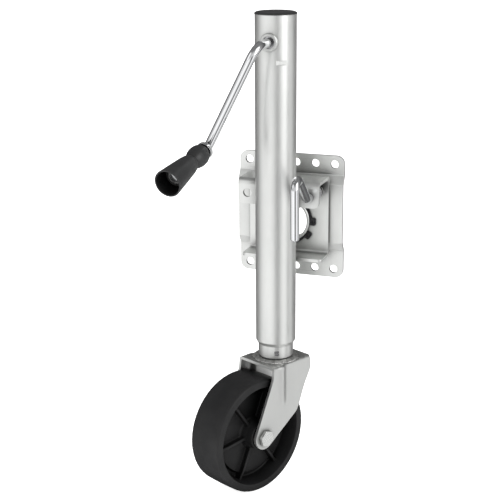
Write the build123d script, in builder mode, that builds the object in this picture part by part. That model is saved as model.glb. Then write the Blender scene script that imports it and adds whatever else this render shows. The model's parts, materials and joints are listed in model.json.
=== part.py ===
from build123d import *
from math import cos, pi, radians, sin, tan
import os

os.makedirs("parts", exist_ok=True)

# A bolt-on, swing-up trailer tongue jack with a side-wind crank and a caster wheel.
# Origin: centre of the bolt pattern, on the back face of the mounting plate.
# +Y points into the trailer frame, the jack stands on the -Y side, +Z is up.

# ---------------------------------------------------------------- driving dimensions, mm
# jack tubes
tube_y = -68.0            # the tubes' common axis
tube_r = 25.4             # outer tube, 2 in outside diameter
tube_bore_r = 22.9
tube_top_z = 262.5
tube_bottom_z = -153.0
swage_h = 4.5             # necked-in mouth that guides the inner tube
swage_in = 2.6
ram_r = 22.225            # inner tube, 1 3/4 in outside diameter
ram_bore_r = 19.6
ram_top_z = 172.0
ram_bottom_z = -168.8
run_clear = 0.075         # radial clearance of every running fit

# mounting plate
plate_half_w = 70.3
plate_half_h = 80.5
sheet = 4.0
plateau_h = 6.5           # how far the middle of the plate stands forward
plateau_top_z = 44.5
plateau_bottom_z = -33.0
step_h = 11.0             # height of the sloped steps above and below the plateau
step_offset = 1.2         # how far the back face's bends stand from the front face's
plate_corner = 11.0
bend_r = 2.5
bolt_x = (-57.15, -19.05, 6.35, 31.75, 57.15)
bolt_z = 69.3
bolt_hole_r = 5.2

# swing joint
hub_z = -4.0
hub_r = 28.6
hub_bore_r = 25.1
hub_back_y = -3.5
bracket_back_y = -11.0
bracket_half_w = 53.0
bracket_top_z = 56.0
bracket_bottom_z = -49.5
lip_front_y = -59.2
lip_bottom_z = 24.0
lower_flange_front_y = -46.0
ring_thick = 1.8
ring_r = 31.5
ring_groove = 1.4
hub_front_y = -19.5
lug_r = 36.4
lug_half_w = 5.0
lug_hole_r = 1.3
lug_angles = (-1.3, -36.0)

# pull pin
pin_x = 40.6
pin_z = 38.0
pin_r = 5.6
pin_slack = 0.35          # radial play of the pin in the plate
pin_tip_y = -11.3
pin_elbow_y = -68.6
pin_elbow_r = 8.0
pin_top_r = 11.0
pin_handle_y = -118.5
pin_handle_top_z = 84.0
pin_handle_end_z = -3.0

# crank
crank_z = 231.0
rod_r = 5.5
crank_arm = 136.0
crank_lean = radians(27.0)    # the arm hangs this far from straight down, towards -X
crank_plane_y = -138.0
handle_splay = radians(16.0)  # the handle leans outwards from the shaft's direction

# bevel gears, 1:1
gear_teeth = 14
gear_module = 2.0
gear_face = 6.0

# screw
screw_r = 9.5
journal_r = 7.0
screw_bottom_z = -95.0
screw_shoulder_z = 192.8

# caster: modelled with its axle along X and its trail towards -Y, then turned
caster_turn = -27.1
trail = 50.5
axle_z = -261.5
wheel_r = 75.0
wheel_half_w = 25.0
wheel_hub_half = 26.0
fork_top_z = -173.0
fork_sheet = 3.5
fork_front_half = 32.2
fork_rear_half = 29.7
fork_half_l = 34.0
axle_r = 6.35

# ---------------------------------------------------------------- planes and helpers
tube_axis = Axis((0, tube_y, 0), (0, 0, 1))
hub_axis = Axis((0, 0, hub_z), (0, 1, 0))
crank_axis = Axis((0, 0, crank_z), (0, 1, 0))
tube_section = Plane(origin=(0, tube_y, 0), x_dir=(1, 0, 0), z_dir=(0, -1, 0))
hub_section = Plane(origin=(0, 0, hub_z), x_dir=(0, 1, 0), z_dir=(1, 0, 0))
crank_section = Plane(origin=(0, 0, crank_z), x_dir=(0, 1, 0), z_dir=(1, 0, 0))


def front_plane(y, z=0.0):
    """A plane facing -Y whose x is X and whose y is Z."""
    return Plane(origin=(0, y, z), x_dir=(1, 0, 0), z_dir=(0, -1, 0))


def level(z, y=tube_y):
    """A level plane centred on the tubes' axis."""
    return Plane(origin=(0, y, z))


def save(part, name):
    part.label = name
    export_step(part, f"parts/{name}.step")


def caster_place(part):
    """Turn a caster piece from its modelling frame to its stored heading."""
    return part.rotate(tube_axis, caster_turn)


# ---------------------------------------------------------------- mounting plate and hub
with BuildPart() as mounting_plate:
    front = -sheet
    with BuildSketch(Plane.YZ):
        with BuildLine():
            Polyline(
                (front, plate_half_h),
                (front, plateau_top_z + step_h),
                (front - plateau_h, plateau_top_z),
                (front - plateau_h, plateau_bottom_z),
                (front, plateau_bottom_z - step_h),
                (front, -plate_half_h),
                (0, -plate_half_h),
                (0, plateau_bottom_z - step_h + step_offset),
                (-plateau_h, plateau_bottom_z + step_offset),
                (-plateau_h, plateau_top_z - step_offset),
                (0, plateau_top_z + step_h - step_offset),
                (0, plate_half_h),
                close=True,
            )
        make_face()
        bends = vertices().filter_by_position(Axis.Y, -plate_half_h + 1, plate_half_h - 1)
        fillet(bends, radius=bend_r)
    extrude(amount=plate_half_w, both=True)
    with BuildSketch(Plane.XZ):
        RectangleRounded(2 * plate_half_w, 2 * plate_half_h, plate_corner)
    extrude(amount=30, both=True, mode=Mode.INTERSECT)
    with BuildSketch(Plane.XZ):
        for x in bolt_x:
            with Locations((x, bolt_z), (x, -bolt_z)):
                Circle(bolt_hole_r)
        with Locations((0, hub_z)):
            Circle(hub_r)
        with Locations((pin_x, pin_z), (-pin_x, pin_z)):
            Circle(pin_r + pin_slack)
    extrude(amount=30, both=True, mode=Mode.SUBTRACT)
save(mounting_plate.part, "mounting_plate")

ring_back_y = bracket_back_y - sheet - 0.3
ring_front_y = ring_back_y - ring_thick
with BuildPart() as pivot_hub:
    with BuildSketch(hub_section):
        with BuildLine():
            Polyline(
                (hub_back_y, hub_bore_r),
                (hub_back_y, hub_r),
                (ring_back_y, hub_r),
                (ring_back_y, hub_r - ring_groove),
                (ring_front_y, hub_r - ring_groove),
                (ring_front_y, hub_r),
                (hub_front_y + 0.8, hub_r),
                (hub_front_y, hub_r - 0.8),
                (hub_front_y, hub_bore_r + 0.6),
                (hub_front_y + 0.6, hub_bore_r),
                close=True,
            )
        make_face()
    revolve(axis=hub_axis)
save(pivot_hub.part, "pivot_hub")

# weld bead that joins the hub to the back of the plate, open at the bottom where the plate steps back
hub_bead = 2.0
hub_weld_from = radians(210)
hub_weld_arc = 240
with BuildPart() as hub_weld:
    out = (cos(hub_weld_from), 0, sin(hub_weld_from))
    with BuildSketch(Plane(origin=(0, 0, hub_z), x_dir=(0, 1, 0), z_dir=(out[2], 0, -out[0]))):
        Polygon(
            (hub_back_y, hub_r),
            (-plateau_h, hub_r),
            (-plateau_h, hub_r + hub_bead),
            align=None,
        )
    revolve(axis=hub_axis, revolution_arc=hub_weld_arc)
save(hub_weld.part, "hub_weld")

# external snap ring with two squarish lugs, which holds the bracket on the hub
with BuildPart() as snap_ring:
    with BuildSketch(front_plane(ring_back_y, hub_z)):
        Circle(ring_r)
        for angle in lug_angles:
            with PolarLocations(0.5 * (hub_r + lug_r), 1, start_angle=angle):
                RectangleRounded(lug_r - hub_r, 2 * lug_half_w, 2.2)
        Circle(hub_r - ring_groove, mode=Mode.SUBTRACT)
        gap = 0.5 * (lug_angles[0] + lug_angles[1])
        gap_w = 2 * (0.5 * (lug_r + hub_r) * sin(radians(lug_angles[0] - gap)) - lug_half_w)
        with PolarLocations(hub_r, 1, start_angle=gap):
            Rectangle(lug_r - hub_r + 8, gap_w, mode=Mode.SUBTRACT)
        for angle in lug_angles:
            with PolarLocations(0.5 * (ring_r + lug_r) - 0.8, 1, start_angle=angle):
                Circle(lug_hole_r, mode=Mode.SUBTRACT)
    extrude(amount=ring_thick)
save(snap_ring.part, "snap_ring")

# ---------------------------------------------------------------- swivel bracket
with BuildPart() as swivel_bracket:
    depth = bracket_back_y - lip_front_y
    height = bracket_top_z - bracket_bottom_z
    mid = (0.5 * (bracket_back_y + lip_front_y), 0.5 * (bracket_top_z + bracket_bottom_z))
    with BuildSketch(Plane.YZ):
        with Locations(mid):
            RectangleRounded(depth, height, 7)
            RectangleRounded(depth - 2 * sheet, height - 2 * sheet, 3, mode=Mode.SUBTRACT)
        front_y = lip_front_y - 1
        opening_y = lower_flange_front_y - front_y
        opening_z = lip_bottom_z - (bracket_bottom_z - 1)
        with Locations((front_y, bracket_bottom_z - 1)):
            Rectangle(opening_y, opening_z, align=(Align.MIN, Align.MIN), mode=Mode.SUBTRACT)
    extrude(amount=bracket_half_w, both=True)
    # rounded lower corners of the two front lips
    lip_corners = edges().filter_by(Axis.Y).filter_by_position(Axis.Z, lip_bottom_z - 0.5, lip_bottom_z + 0.5)
    fillet(lip_corners, radius=7)
    # rounded front corners of the bottom flange
    front_corners = edges().filter_by(Axis.Z).filter_by_position(
        Axis.Y, lower_flange_front_y - 0.5, lower_flange_front_y + 0.5
    )
    fillet(front_corners, radius=5)
    with BuildSketch(Plane.XY.offset(bracket_bottom_z - 1)):
        with Locations((0, tube_y)):
            Circle(tube_r)
    extrude(amount=height + 2, mode=Mode.SUBTRACT)
    with BuildSketch(Plane.XZ):
        with Locations((0, hub_z)):
            Circle(hub_r + run_clear)
        with Locations((pin_x, pin_z), (-pin_x, pin_z)):
            Circle(pin_r + run_clear)
    extrude(amount=80, mode=Mode.SUBTRACT)
save(swivel_bracket.part, "swivel_bracket")

# weld beads between the bracket and the outer tube, in the corners inside the bracket
bead = 3.5
bead_rows = ((bracket_top_z - sheet, -1, 100), (bracket_bottom_z + sheet, 1, 60))
with BuildPart() as bracket_welds:
    for corner_z, way, arc in bead_rows:
        start = radians(90 - arc / 2)
        with BuildSketch(
            Plane(origin=(0, tube_y, 0), x_dir=(cos(start), sin(start), 0), z_dir=(sin(start), -cos(start), 0))
        ):
            Polygon(
                (tube_r, corner_z),
                (tube_r + bead, corner_z),
                (tube_r, corner_z + way * bead),
                align=None,
            )
        revolve(axis=tube_axis, revolution_arc=arc)
save(bracket_welds.part, "bracket_welds")

# ---------------------------------------------------------------- outer tube and its fittings
boss_r = 10.8
boss_h = 2.4
bush_r = 7.4
stake_z = 206.6
stake_h = 5.6
stake_depth = 0.9
stake_angles = (-55, 65, 185)
with BuildPart() as outer_tube:
    with BuildSketch(level(tube_bottom_z + swage_h)):
        Circle(tube_r)
    extrude(amount=tube_top_z - tube_bottom_z - swage_h)
    # necked-in mouth
    with BuildSketch(level(tube_bottom_z + swage_h)):
        Circle(tube_r)
    with BuildSketch(level(tube_bottom_z)):
        Circle(tube_r - swage_in)
    loft()
    # raised rim round the crank's hole
    with BuildSketch(front_plane(tube_y, crank_z)):
        Circle(boss_r)
    extrude(amount=tube_r + boss_h)
    rim = edges().filter_by(GeomType.CIRCLE).sort_by(Axis.Y)[0]
    fillet(rim, radius=1.6)
    with BuildSketch(level(tube_bottom_z)):
        Circle(ram_r + run_clear)
    extrude(amount=tube_top_z - tube_bottom_z, mode=Mode.SUBTRACT)
    with BuildSketch(level(tube_bottom_z + swage_h)):
        Circle(tube_bore_r)
    extrude(amount=tube_top_z - tube_bottom_z, mode=Mode.SUBTRACT)
    with BuildSketch(Plane.XZ):
        with Locations((0, crank_z)):
            Circle(bush_r)
    extrude(amount=120, mode=Mode.SUBTRACT)
    # flats pressed into the wall to lock the bearing plate
    for angle in stake_angles:
        way = (cos(radians(angle)), sin(radians(angle)), 0)
        flat = Plane(origin=(0, tube_y, stake_z), z_dir=way, x_dir=(-way[1], way[0], 0))
        with BuildSketch(flat.offset(tube_r - stake_depth)):
            Rectangle(tube_r, stake_h)
        extrude(amount=2 * stake_depth, mode=Mode.SUBTRACT)
save(outer_tube.part, "outer_tube")

cap_skirt = 9.0
cap_wall = 2.0
with BuildPart() as top_cap:
    with BuildSketch(tube_section):
        with BuildLine():
            Line((0, tube_top_z + 2.8), (21, tube_top_z + 2.5))
            ThreePointArc((21, tube_top_z + 2.5), (24.6, tube_top_z + 1.9), (26.0, tube_top_z + 0.6))
            Polyline(
                (26.0, tube_top_z + 0.6),
                (26.0, tube_top_z),
                (tube_bore_r - 0.05, tube_top_z),
                (tube_bore_r - 0.35, tube_top_z - cap_skirt),
                (tube_bore_r - cap_wall - 0.4, tube_top_z - cap_skirt),
                (tube_bore_r - cap_wall - 0.4, tube_top_z + 2.8 - cap_wall),
                (0, tube_top_z + 2.8 - cap_wall),
                (0, tube_top_z + 2.8),
            )
        make_face()
    revolve(axis=tube_axis)
save(top_cap.part, "top_cap")

# bushings that carry the crank shaft in the tube's two walls
bush_ends = {
    "front_bushing": (tube_y - tube_r + 0.6, tube_y - tube_bore_r + 1.2),
    "rear_bushing": (tube_y + tube_r - 6.4, tube_y + tube_r + 1.6),
}
for bush_name, (bush_from, bush_to) in bush_ends.items():
    with BuildPart() as bushing:
        with BuildSketch(crank_section):
            with Locations((0.5 * (bush_from + bush_to), 0.5 * (rod_r + run_clear + bush_r))):
                Rectangle(bush_to - bush_from, bush_r - rod_r - run_clear)
        revolve(axis=crank_axis)
    save(bushing.part, bush_name)

plate_low_z = 202.0
plate_high_z = 208.0
with BuildPart() as bearing_plate:
    with BuildSketch(level(plate_low_z)):
        Circle(tube_bore_r)
        Circle(journal_r + run_clear, mode=Mode.SUBTRACT)
    extrude(amount=plate_high_z - plate_low_z)
    chamfer(edges().filter_by(GeomType.CIRCLE).group_by(SortBy.RADIUS)[-1], length=0.8)
save(bearing_plate.part, "bearing_plate")

# ---------------------------------------------------------------- thrust bearing
race_r = 15.5
race_h = 2.6
ball_r = 1.98
ball_circle = 11.6
race_gap = 0.03
lower_race_z = screw_shoulder_z
ball_z = lower_race_z + race_h + race_gap + ball_r
upper_race_z = plate_low_z - race_h
with BuildPart() as upper_race:
    with BuildSketch(level(upper_race_z)):
        Circle(race_r)
        Circle(journal_r + 0.4, mode=Mode.SUBTRACT)
    extrude(amount=race_h)
    fillet(edges().filter_by(GeomType.CIRCLE).group_by(SortBy.RADIUS)[-1], radius=0.5)
save(upper_race.part, "upper_race")

with BuildPart() as lower_race:
    with BuildSketch(level(lower_race_z)):
        Circle(race_r)
        Circle(journal_r, mode=Mode.SUBTRACT)
    extrude(amount=race_h)
    fillet(edges().filter_by(GeomType.CIRCLE).group_by(SortBy.RADIUS)[-1], radius=0.5)
save(lower_race.part, "lower_race")

with BuildPart() as bearing_balls:
    with Locations(level(ball_z)):
        with PolarLocations(ball_circle, 12):
            Sphere(ball_r)
save(bearing_balls.part, "bearing_balls")

with BuildPart() as bearing_cage:
    with BuildSketch(level(ball_z - 0.8)):
        Circle(14.9)
        Circle(journal_r + 0.9, mode=Mode.SUBTRACT)
        with PolarLocations(ball_circle, 12):
            Circle(ball_r + 0.06, mode=Mode.SUBTRACT)
    extrude(amount=1.6)
save(bearing_cage.part, "bearing_cage")

# ---------------------------------------------------------------- bevel gears
pitch_r = gear_module * gear_teeth / 2
cone = radians(45)
addendum = 0.85 * gear_module
dedendum = 1.15 * gear_module
cone_len = pitch_r / sin(cone)
inner_scale = (cone_len - gear_face) / cone_len
half_tooth = 0.40 * gear_module * pi / 2
flank = tan(radians(20))


def tooth_plane(scale):
    """The plane square to the pitch cone at a tooth's outer or inner end; the cone's tip is at the origin."""
    point = (scale * pitch_r, 0, -scale * pitch_r)
    return Plane(origin=point, x_dir=(0, 1, 0), z_dir=(sin(cone), 0, -cos(cone)))


def tooth_points(scale):
    """The corners of a tooth's trapezoid at one end of the tooth."""
    tip = (half_tooth - addendum * flank) * scale
    base = (half_tooth + dedendum * flank) * scale
    low = -(dedendum + 0.4) * scale
    high = addendum * scale
    return [(-base, low), (base, low), (tip, high), (-tip, high)]


with BuildPart() as gear_tooth:
    with BuildSketch(tooth_plane(1.0)):
        Polygon(*tooth_points(1.0), align=None)
    with BuildSketch(tooth_plane(inner_scale)):
        Polygon(*tooth_points(inner_scale), align=None)
    loft()


def bevel_gear(bore_r, hub_r, hub_back, pin_back, pin_r, first_tooth):
    """A straight bevel gear about Z, its cone's tip at the origin, its hub below and a cross hole for its pin."""
    root_r = pitch_r - dedendum * cos(cone)
    root_z = -pitch_r - dedendum * sin(cone)
    with BuildPart() as gear:
        with BuildSketch(Plane.XZ):
            with BuildLine():
                Polyline(
                    (bore_r, root_z * inner_scale),
                    (root_r * inner_scale, root_z * inner_scale),
                    (root_r, root_z),
                    (hub_r, root_z - 1.2),
                    (hub_r, -hub_back),
                    (bore_r, -hub_back),
                    close=True,
                )
            make_face()
        revolve(axis=Axis.Z)
        with PolarLocations(0, gear_teeth, start_angle=first_tooth):
            add(gear_tooth.part)
        with BuildSketch(Plane.YZ):
            with Locations((0, -pin_back)):
                Circle(pin_r)
        extrude(amount=30, both=True, mode=Mode.SUBTRACT)
    return gear.part


# the cones' tips meet where the crank shaft's axis crosses the tubes' axis
gear_pin_r = 2.0
gear_pin_back = 20.0
pinion_pin_r = 1.25
pinion_pin_back = 18.35
gear_tip = Location((0, tube_y, crank_z))
tooth_pitch = 360 / gear_teeth
screw_gear = gear_tip * bevel_gear(
    journal_r, 11.5, crank_z - plate_high_z - 0.3, gear_pin_back, gear_pin_r, 90
)
save(screw_gear, "screw_gear")
pinion = bevel_gear(rod_r, 10.0, 20.0, pinion_pin_back, pinion_pin_r, 90 + tooth_pitch / 2)
pinion = gear_tip * (Rotation(-90, 0, 0) * pinion)
save(pinion, "pinion")

with BuildPart() as gear_pin:
    with BuildSketch(Plane(origin=(0, tube_y, crank_z - gear_pin_back), z_dir=(1, 0, 0))):
        Circle(gear_pin_r)
        Circle(gear_pin_r - 0.7, mode=Mode.SUBTRACT)
    extrude(amount=11.2, both=True)
save(gear_pin.part, "gear_pin")

with BuildPart() as pinion_pin:
    with BuildSketch(Plane(origin=(0, tube_y - pinion_pin_back, crank_z), z_dir=(1, 0, 0))):
        Circle(pinion_pin_r)
        Circle(pinion_pin_r - 0.5, mode=Mode.SUBTRACT)
    extrude(amount=9.7, both=True)
save(pinion_pin.part, "pinion_pin")

# ---------------------------------------------------------------- lead screw
with BuildPart() as lead_screw:
    with BuildSketch(level(screw_bottom_z)):
        Circle(screw_r)
    extrude(amount=screw_shoulder_z - screw_bottom_z)
    chamfer(edges().filter_by(GeomType.CIRCLE).sort_by(Axis.Z)[0], length=1.5)
    with BuildSketch(level(screw_shoulder_z)):
        Circle(journal_r)
    extrude(amount=crank_z - rod_r - 2.2 - screw_shoulder_z)
    chamfer(edges().filter_by(GeomType.CIRCLE).sort_by(Axis.Z)[-1], length=0.8)
    with BuildSketch(Plane.YZ):
        with Locations((tube_y, crank_z - gear_pin_back)):
            Circle(gear_pin_r)
    extrude(amount=30, both=True, mode=Mode.SUBTRACT)
save(lead_screw.part, "lead_screw")

# ---------------------------------------------------------------- ram: inner tube and its nut
stem_pin_z = -162.0
stem_pin_w = 6.0
stem_pin_h = 6.4
stem_pin_corner = 1.0
stem_pin_sunk = 0.4       # how far the pins' outer ends sit below the tube's surface
stem_pin_angle = -68.0
with BuildPart() as inner_tube:
    with BuildSketch(level(ram_bottom_z)):
        Circle(ram_r)
        Circle(ram_bore_r, mode=Mode.SUBTRACT)
    extrude(amount=ram_top_z - ram_bottom_z)
    pin_plane = Plane(
        origin=(0, tube_y, stem_pin_z),
        x_dir=(0, 0, 1),
        z_dir=(cos(radians(stem_pin_angle)), sin(radians(stem_pin_angle)), 0),
    )
    with BuildSketch(pin_plane):
        RectangleRounded(stem_pin_h, stem_pin_w, stem_pin_corner)
    extrude(amount=40, both=True, mode=Mode.SUBTRACT)
save(inner_tube.part, "inner_tube")

nut_len = 24.0
nut_collar = 4.0
with BuildPart() as screw_nut:
    with BuildSketch(level(ram_top_z - nut_len)):
        Circle(ram_bore_r)
    extrude(amount=nut_len)
    with BuildSketch(level(ram_top_z)):
        Circle(tube_bore_r - run_clear)
    extrude(amount=nut_collar)
    with BuildSketch(level(ram_top_z - nut_len)):
        Circle(screw_r + run_clear)
    extrude(amount=nut_len + nut_collar, mode=Mode.SUBTRACT)
save(screw_nut.part, "screw_nut")

groove_r = 16.4
with BuildPart() as stem_pins:
    for way in (1, -1):
        start = ram_r - stem_pin_sunk
        out = (cos(radians(stem_pin_angle)) * way, sin(radians(stem_pin_angle)) * way, 0)
        origin = (out[0] * start, tube_y + out[1] * start, stem_pin_z)
        with BuildSketch(Plane(origin=origin, x_dir=(0, 0, 1), z_dir=out)):
            RectangleRounded(stem_pin_h, stem_pin_w, stem_pin_corner)
        extrude(amount=-(start - groove_r - 0.3))
save(stem_pins.part, "stem_pins")

# ---------------------------------------------------------------- crank
lean_x = -sin(crank_lean)
lean_z = -cos(crank_lean)
arm_end = Vector(lean_x * crank_arm, crank_plane_y, crank_z + lean_z * crank_arm)
handle_dir = Vector(
    lean_x * sin(handle_splay), -cos(handle_splay), lean_z * sin(handle_splay)
)
grip_len = 86.0
rod_end_len = 82.0
shaft_back_y = tube_y + tube_r + 5.4
handle_tip = arm_end + handle_dir * rod_end_len
handle_axis = Axis(tuple(arm_end), tuple(handle_dir))
with BuildPart() as crank_rod:
    with BuildLine() as rod_path:
        FilletPolyline(
            (0, shaft_back_y, crank_z),
            (0, crank_plane_y, crank_z),
            tuple(arm_end),
            tuple(handle_tip),
            radius=(17, 9),
        )
    with BuildSketch(Plane(origin=(0, shaft_back_y, crank_z), z_dir=(0, -1, 0))):
        Circle(rod_r)
    sweep()
    # groove for the shaft's retaining clip and the pinion pin's cross hole
    clip_y = tube_y + tube_r + 2.4
    with BuildSketch(crank_section):
        with Locations((clip_y, rod_r)):
            Rectangle(1.2, 1.6)
    revolve(axis=crank_axis, mode=Mode.SUBTRACT)
    with BuildSketch(Plane(origin=(0, tube_y - pinion_pin_back, crank_z), z_dir=(1, 0, 0))):
        Circle(pinion_pin_r)
    extrude(amount=20, both=True, mode=Mode.SUBTRACT)
save(crank_rod.part, "crank_rod")

with BuildPart() as shaft_clip:
    with BuildSketch(front_plane(clip_y + 0.6, crank_z)):
        Circle(8.6)
        Circle(rod_r - 0.8, mode=Mode.SUBTRACT)
        with Locations((0, -6)):
            Rectangle(2 * rod_r - 2.4, 8, mode=Mode.SUBTRACT)
    extrude(amount=1.2)
save(shaft_clip.part, "shaft_clip")


def handle_plane(along):
    """A plane square to the handle, a distance along it from the crank arm's end."""
    origin = tuple(arm_end + handle_dir * along)
    return Plane(origin=origin, x_dir=(cos(crank_lean), 0, lean_x), z_dir=tuple(handle_dir))


def handle_ring(outer_r, inner_r, start, length):
    """A plain ring about the handle."""
    with BuildPart() as ring:
        with BuildSketch(handle_plane(start)):
            Circle(outer_r)
            Circle(inner_r, mode=Mode.SUBTRACT)
        extrude(amount=length)
    return ring.part


ferrule_start = 7.2
ferrule_len = 5.0
ferrule_r = 10.5
push_nut_r = 8.4
nut_depth = 2.4           # how far the push nut sits back from the rod's end
grip_start = 12.6
grip_floor = rod_end_len - grip_start - nut_depth - 0.8
grip_bore_r = rod_r + run_clear
waist_at = 28.6
waist_r = 8.9
mouth_r = 16.7
save(handle_ring(ferrule_r, rod_r, ferrule_start, ferrule_len), "handle_ferrule")
save(handle_ring(push_nut_r, rod_r, rod_end_len - nut_depth, 1.4), "grip_push_nut")

# turned grip: a bulb, a waist and a flared, hollow end
with BuildPart() as handle_grip:
    grip_side = handle_plane(grip_start)
    section = Plane(origin=grip_side.origin, x_dir=grip_side.z_dir, z_dir=grip_side.x_dir)
    with BuildSketch(section):
        with BuildLine():
            Polyline((0, grip_bore_r), (0, 8.5))
            Spline((0, 8.5), (5, 11.6), (12, 13.0), (20, 12.1), (waist_at, waist_r))
            Spline((waist_at, waist_r), (33, 11.0), (56, 13.9), (grip_len, mouth_r))
            Polyline(
                (grip_len, mouth_r),
                (grip_len, 14.8),
                (grip_floor, 12.4),
                (grip_floor, grip_bore_r),
                (0, grip_bore_r),
            )
        make_face()
    revolve(axis=handle_axis)
save(handle_grip.part, "handle_grip")

# ---------------------------------------------------------------- pull pin
cross_pin_y = -25.0
cross_pin_r = 1.6
washer_thick = 1.4
with BuildPart() as pull_pin:
    with BuildLine(Plane.YZ.offset(pin_x)):
        FilletPolyline(
            (pin_tip_y, pin_z),
            (pin_elbow_y, pin_z),
            (pin_handle_y, pin_handle_top_z),
            (pin_handle_y + 1.5, pin_handle_end_z),
            radius=(pin_elbow_r, pin_top_r),
        )
    with BuildSketch(Plane(origin=(pin_x, pin_tip_y, pin_z), z_dir=(0, -1, 0))):
        Circle(pin_r)
    sweep()
    tip_edge = edges().filter_by(GeomType.CIRCLE).sort_by(Axis.Y)[-1]
    chamfer(tip_edge, length=1.2)
    end_edge = edges().filter_by(GeomType.CIRCLE).sort_by(Axis.Z)[0]
    fillet(end_edge, radius=3.5)
    with BuildSketch(Plane(origin=(pin_x, cross_pin_y, pin_z), z_dir=(1, 0, 0))):
        Circle(cross_pin_r)
    extrude(amount=20, both=True, mode=Mode.SUBTRACT)
save(pull_pin.part, "pull_pin")

with BuildPart() as cross_pin:
    with BuildSketch(Plane(origin=(pin_x, cross_pin_y, pin_z), z_dir=(1, 0, 0))):
        Circle(cross_pin_r)
    extrude(amount=9.5, both=True)
save(cross_pin.part, "cross_pin")

washer_front_y = cross_pin_y - cross_pin_r - washer_thick
with BuildPart() as spring_washer:
    with BuildSketch(front_plane(cross_pin_y - cross_pin_r)):
        with Locations((pin_x, pin_z)):
            Circle(9)
            Circle(pin_r + 0.02, mode=Mode.SUBTRACT)
    extrude(amount=washer_thick)
save(spring_washer.part, "spring_washer")

wire_r = 0.9
spring_r = 7.4
spring_from = lip_front_y + sheet + wire_r + 0.2
spring_to = washer_front_y - wire_r - 0.05
with BuildPart() as pin_spring:
    with BuildLine():
        coil = Helix(
            pitch=4.3,
            height=spring_to - spring_from,
            radius=spring_r,
            center=(pin_x, spring_from, pin_z),
            direction=(0, 1, 0),
        )
    with BuildSketch(Plane(origin=coil @ 0, z_dir=coil % 0)):
        Circle(wire_r)
    sweep(is_frenet=True)
save(pin_spring.part, "pin_spring")

# ---------------------------------------------------------------- caster
fork_low_z = -290.0
joggle_y = -14.0
joggle_l = 5.0
wheel_y = -trail
stem_r = ram_bore_r - 0.1


def channel_outline(inset, reach):
    """The fork's joggled outline seen from above, with the wheel's side at -Y."""
    front = fork_front_half - inset
    rear = fork_rear_half - inset
    joggle_end = joggle_y + joggle_l
    return [
        (-front, -reach),
        (front, -reach),
        (front, joggle_y),
        (rear, joggle_end),
        (rear, fork_half_l + inset),
        (-rear, fork_half_l + inset),
        (-rear, joggle_end),
        (-front, joggle_y),
    ]


leg_reach = 120.0
leg_end_r = 15.5
with BuildPart() as caster_fork:
    with BuildSketch(level(fork_low_z)):
        Polygon(*channel_outline(0, leg_reach), align=None)
    extrude(amount=fork_top_z - fork_low_z)
    # the hollow between the legs, under the top plate
    with BuildSketch(level(fork_low_z - 1)):
        Polygon(*channel_outline(fork_sheet, leg_reach + 1), align=None)
    extrude(amount=fork_top_z - fork_sheet - fork_low_z + 1, mode=Mode.SUBTRACT)
    # the legs' outline from the side
    with BuildSketch(Plane(origin=(0, tube_y, 0), x_dir=(0, 1, 0), z_dir=(1, 0, 0))):
        with BuildLine():
            Polyline(
                (-fork_half_l, fork_top_z),
                (fork_half_l, fork_top_z),
                (fork_half_l, fork_top_z - 17),
                (6, axle_z + 20.5),
                (-trail + 9.5, axle_z - 12.0),
                (-trail, axle_z),
                (-trail - 14.0, axle_z + 8.0),
                (-fork_half_l - 1.5, fork_top_z - 16),
                close=True,
            )
        make_face()
        with Locations((-trail, axle_z)):
            Circle(leg_end_r)
            Circle(axle_r + 0.05, mode=Mode.SUBTRACT)
    extrude(amount=50, both=True, mode=Mode.INTERSECT)
    with BuildSketch(level(fork_top_z - fork_sheet)):
        Circle(stem_r)
    extrude(amount=fork_sheet, mode=Mode.SUBTRACT)
save(caster_place(caster_fork.part), "caster_fork")

# solid stem that turns inside the inner tube, with the groove that the stem pins run in
stem_top_z = stem_pin_z + 42
stem_chamfer = 2.0
groove_half = stem_pin_h / 2 + 0.3
with BuildPart() as caster_stem:
    with BuildSketch(tube_section):
        with BuildLine():
            Polyline(
                (0, fork_top_z - fork_sheet),
                (stem_r, fork_top_z - fork_sheet),
                (stem_r, stem_pin_z - groove_half),
                (groove_r, stem_pin_z - groove_half),
                (groove_r, stem_pin_z + groove_half),
                (stem_r, stem_pin_z + groove_half),
                (stem_r, stem_top_z - stem_chamfer),
                (stem_r - stem_chamfer, stem_top_z),
                (0, stem_top_z),
                close=True,
            )
        make_face()
    revolve(axis=tube_axis)
save(caster_stem.part, "caster_stem")

with BuildPart() as stem_weld:
    with BuildSketch(tube_section):
        with BuildLine():
            Polyline(
                (stem_r, fork_top_z),
                (ram_r + 0.5, fork_top_z),
                (ram_r - 0.4, ram_bottom_z - 1.2),
                (stem_r, ram_bottom_z - 0.6),
                close=True,
            )
        make_face()
    revolve(axis=tube_axis)
save(stem_weld.part, "stem_weld")

# axle: bolt, nut, spacer sleeve and two washers
axle = Plane(origin=(0, tube_y + wheel_y, axle_z), x_dir=(0, 1, 0), z_dir=(1, 0, 0))
front_inside = fork_front_half - fork_sheet
sleeve_r = 8.0
hex_half = 9.5            # half the bolt head's and the nut's width across flats
head_h = 5.2
head_turn = -17.0
nut_h = 8.0
lock_collar_r = 8.4
lock_collar_h = 2.5
hex_face_r = 10.5         # the flat face inside the head's chamfer
bolt_end = 13.0           # how far the bolt's end stands out of the far leg
with BuildPart() as axle_bolt:
    with BuildSketch(axle.offset(fork_front_half)):
        RegularPolygon(hex_half, 6, major_radius=False, rotation=head_turn)
    extrude(amount=head_h)
    with BuildSketch(axle.offset(fork_front_half + head_h)):
        Circle(hex_face_r)
    extrude(amount=-head_h, taper=-60, mode=Mode.INTERSECT)
    with BuildSketch(axle.offset(-fork_front_half - bolt_end)):
        Circle(axle_r)
    extrude(amount=2 * fork_front_half + bolt_end)
    chamfer(edges().filter_by(GeomType.CIRCLE).sort_by(Axis.X)[0], length=1.2)
save(caster_place(axle_bolt.part), "axle_bolt")

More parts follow.
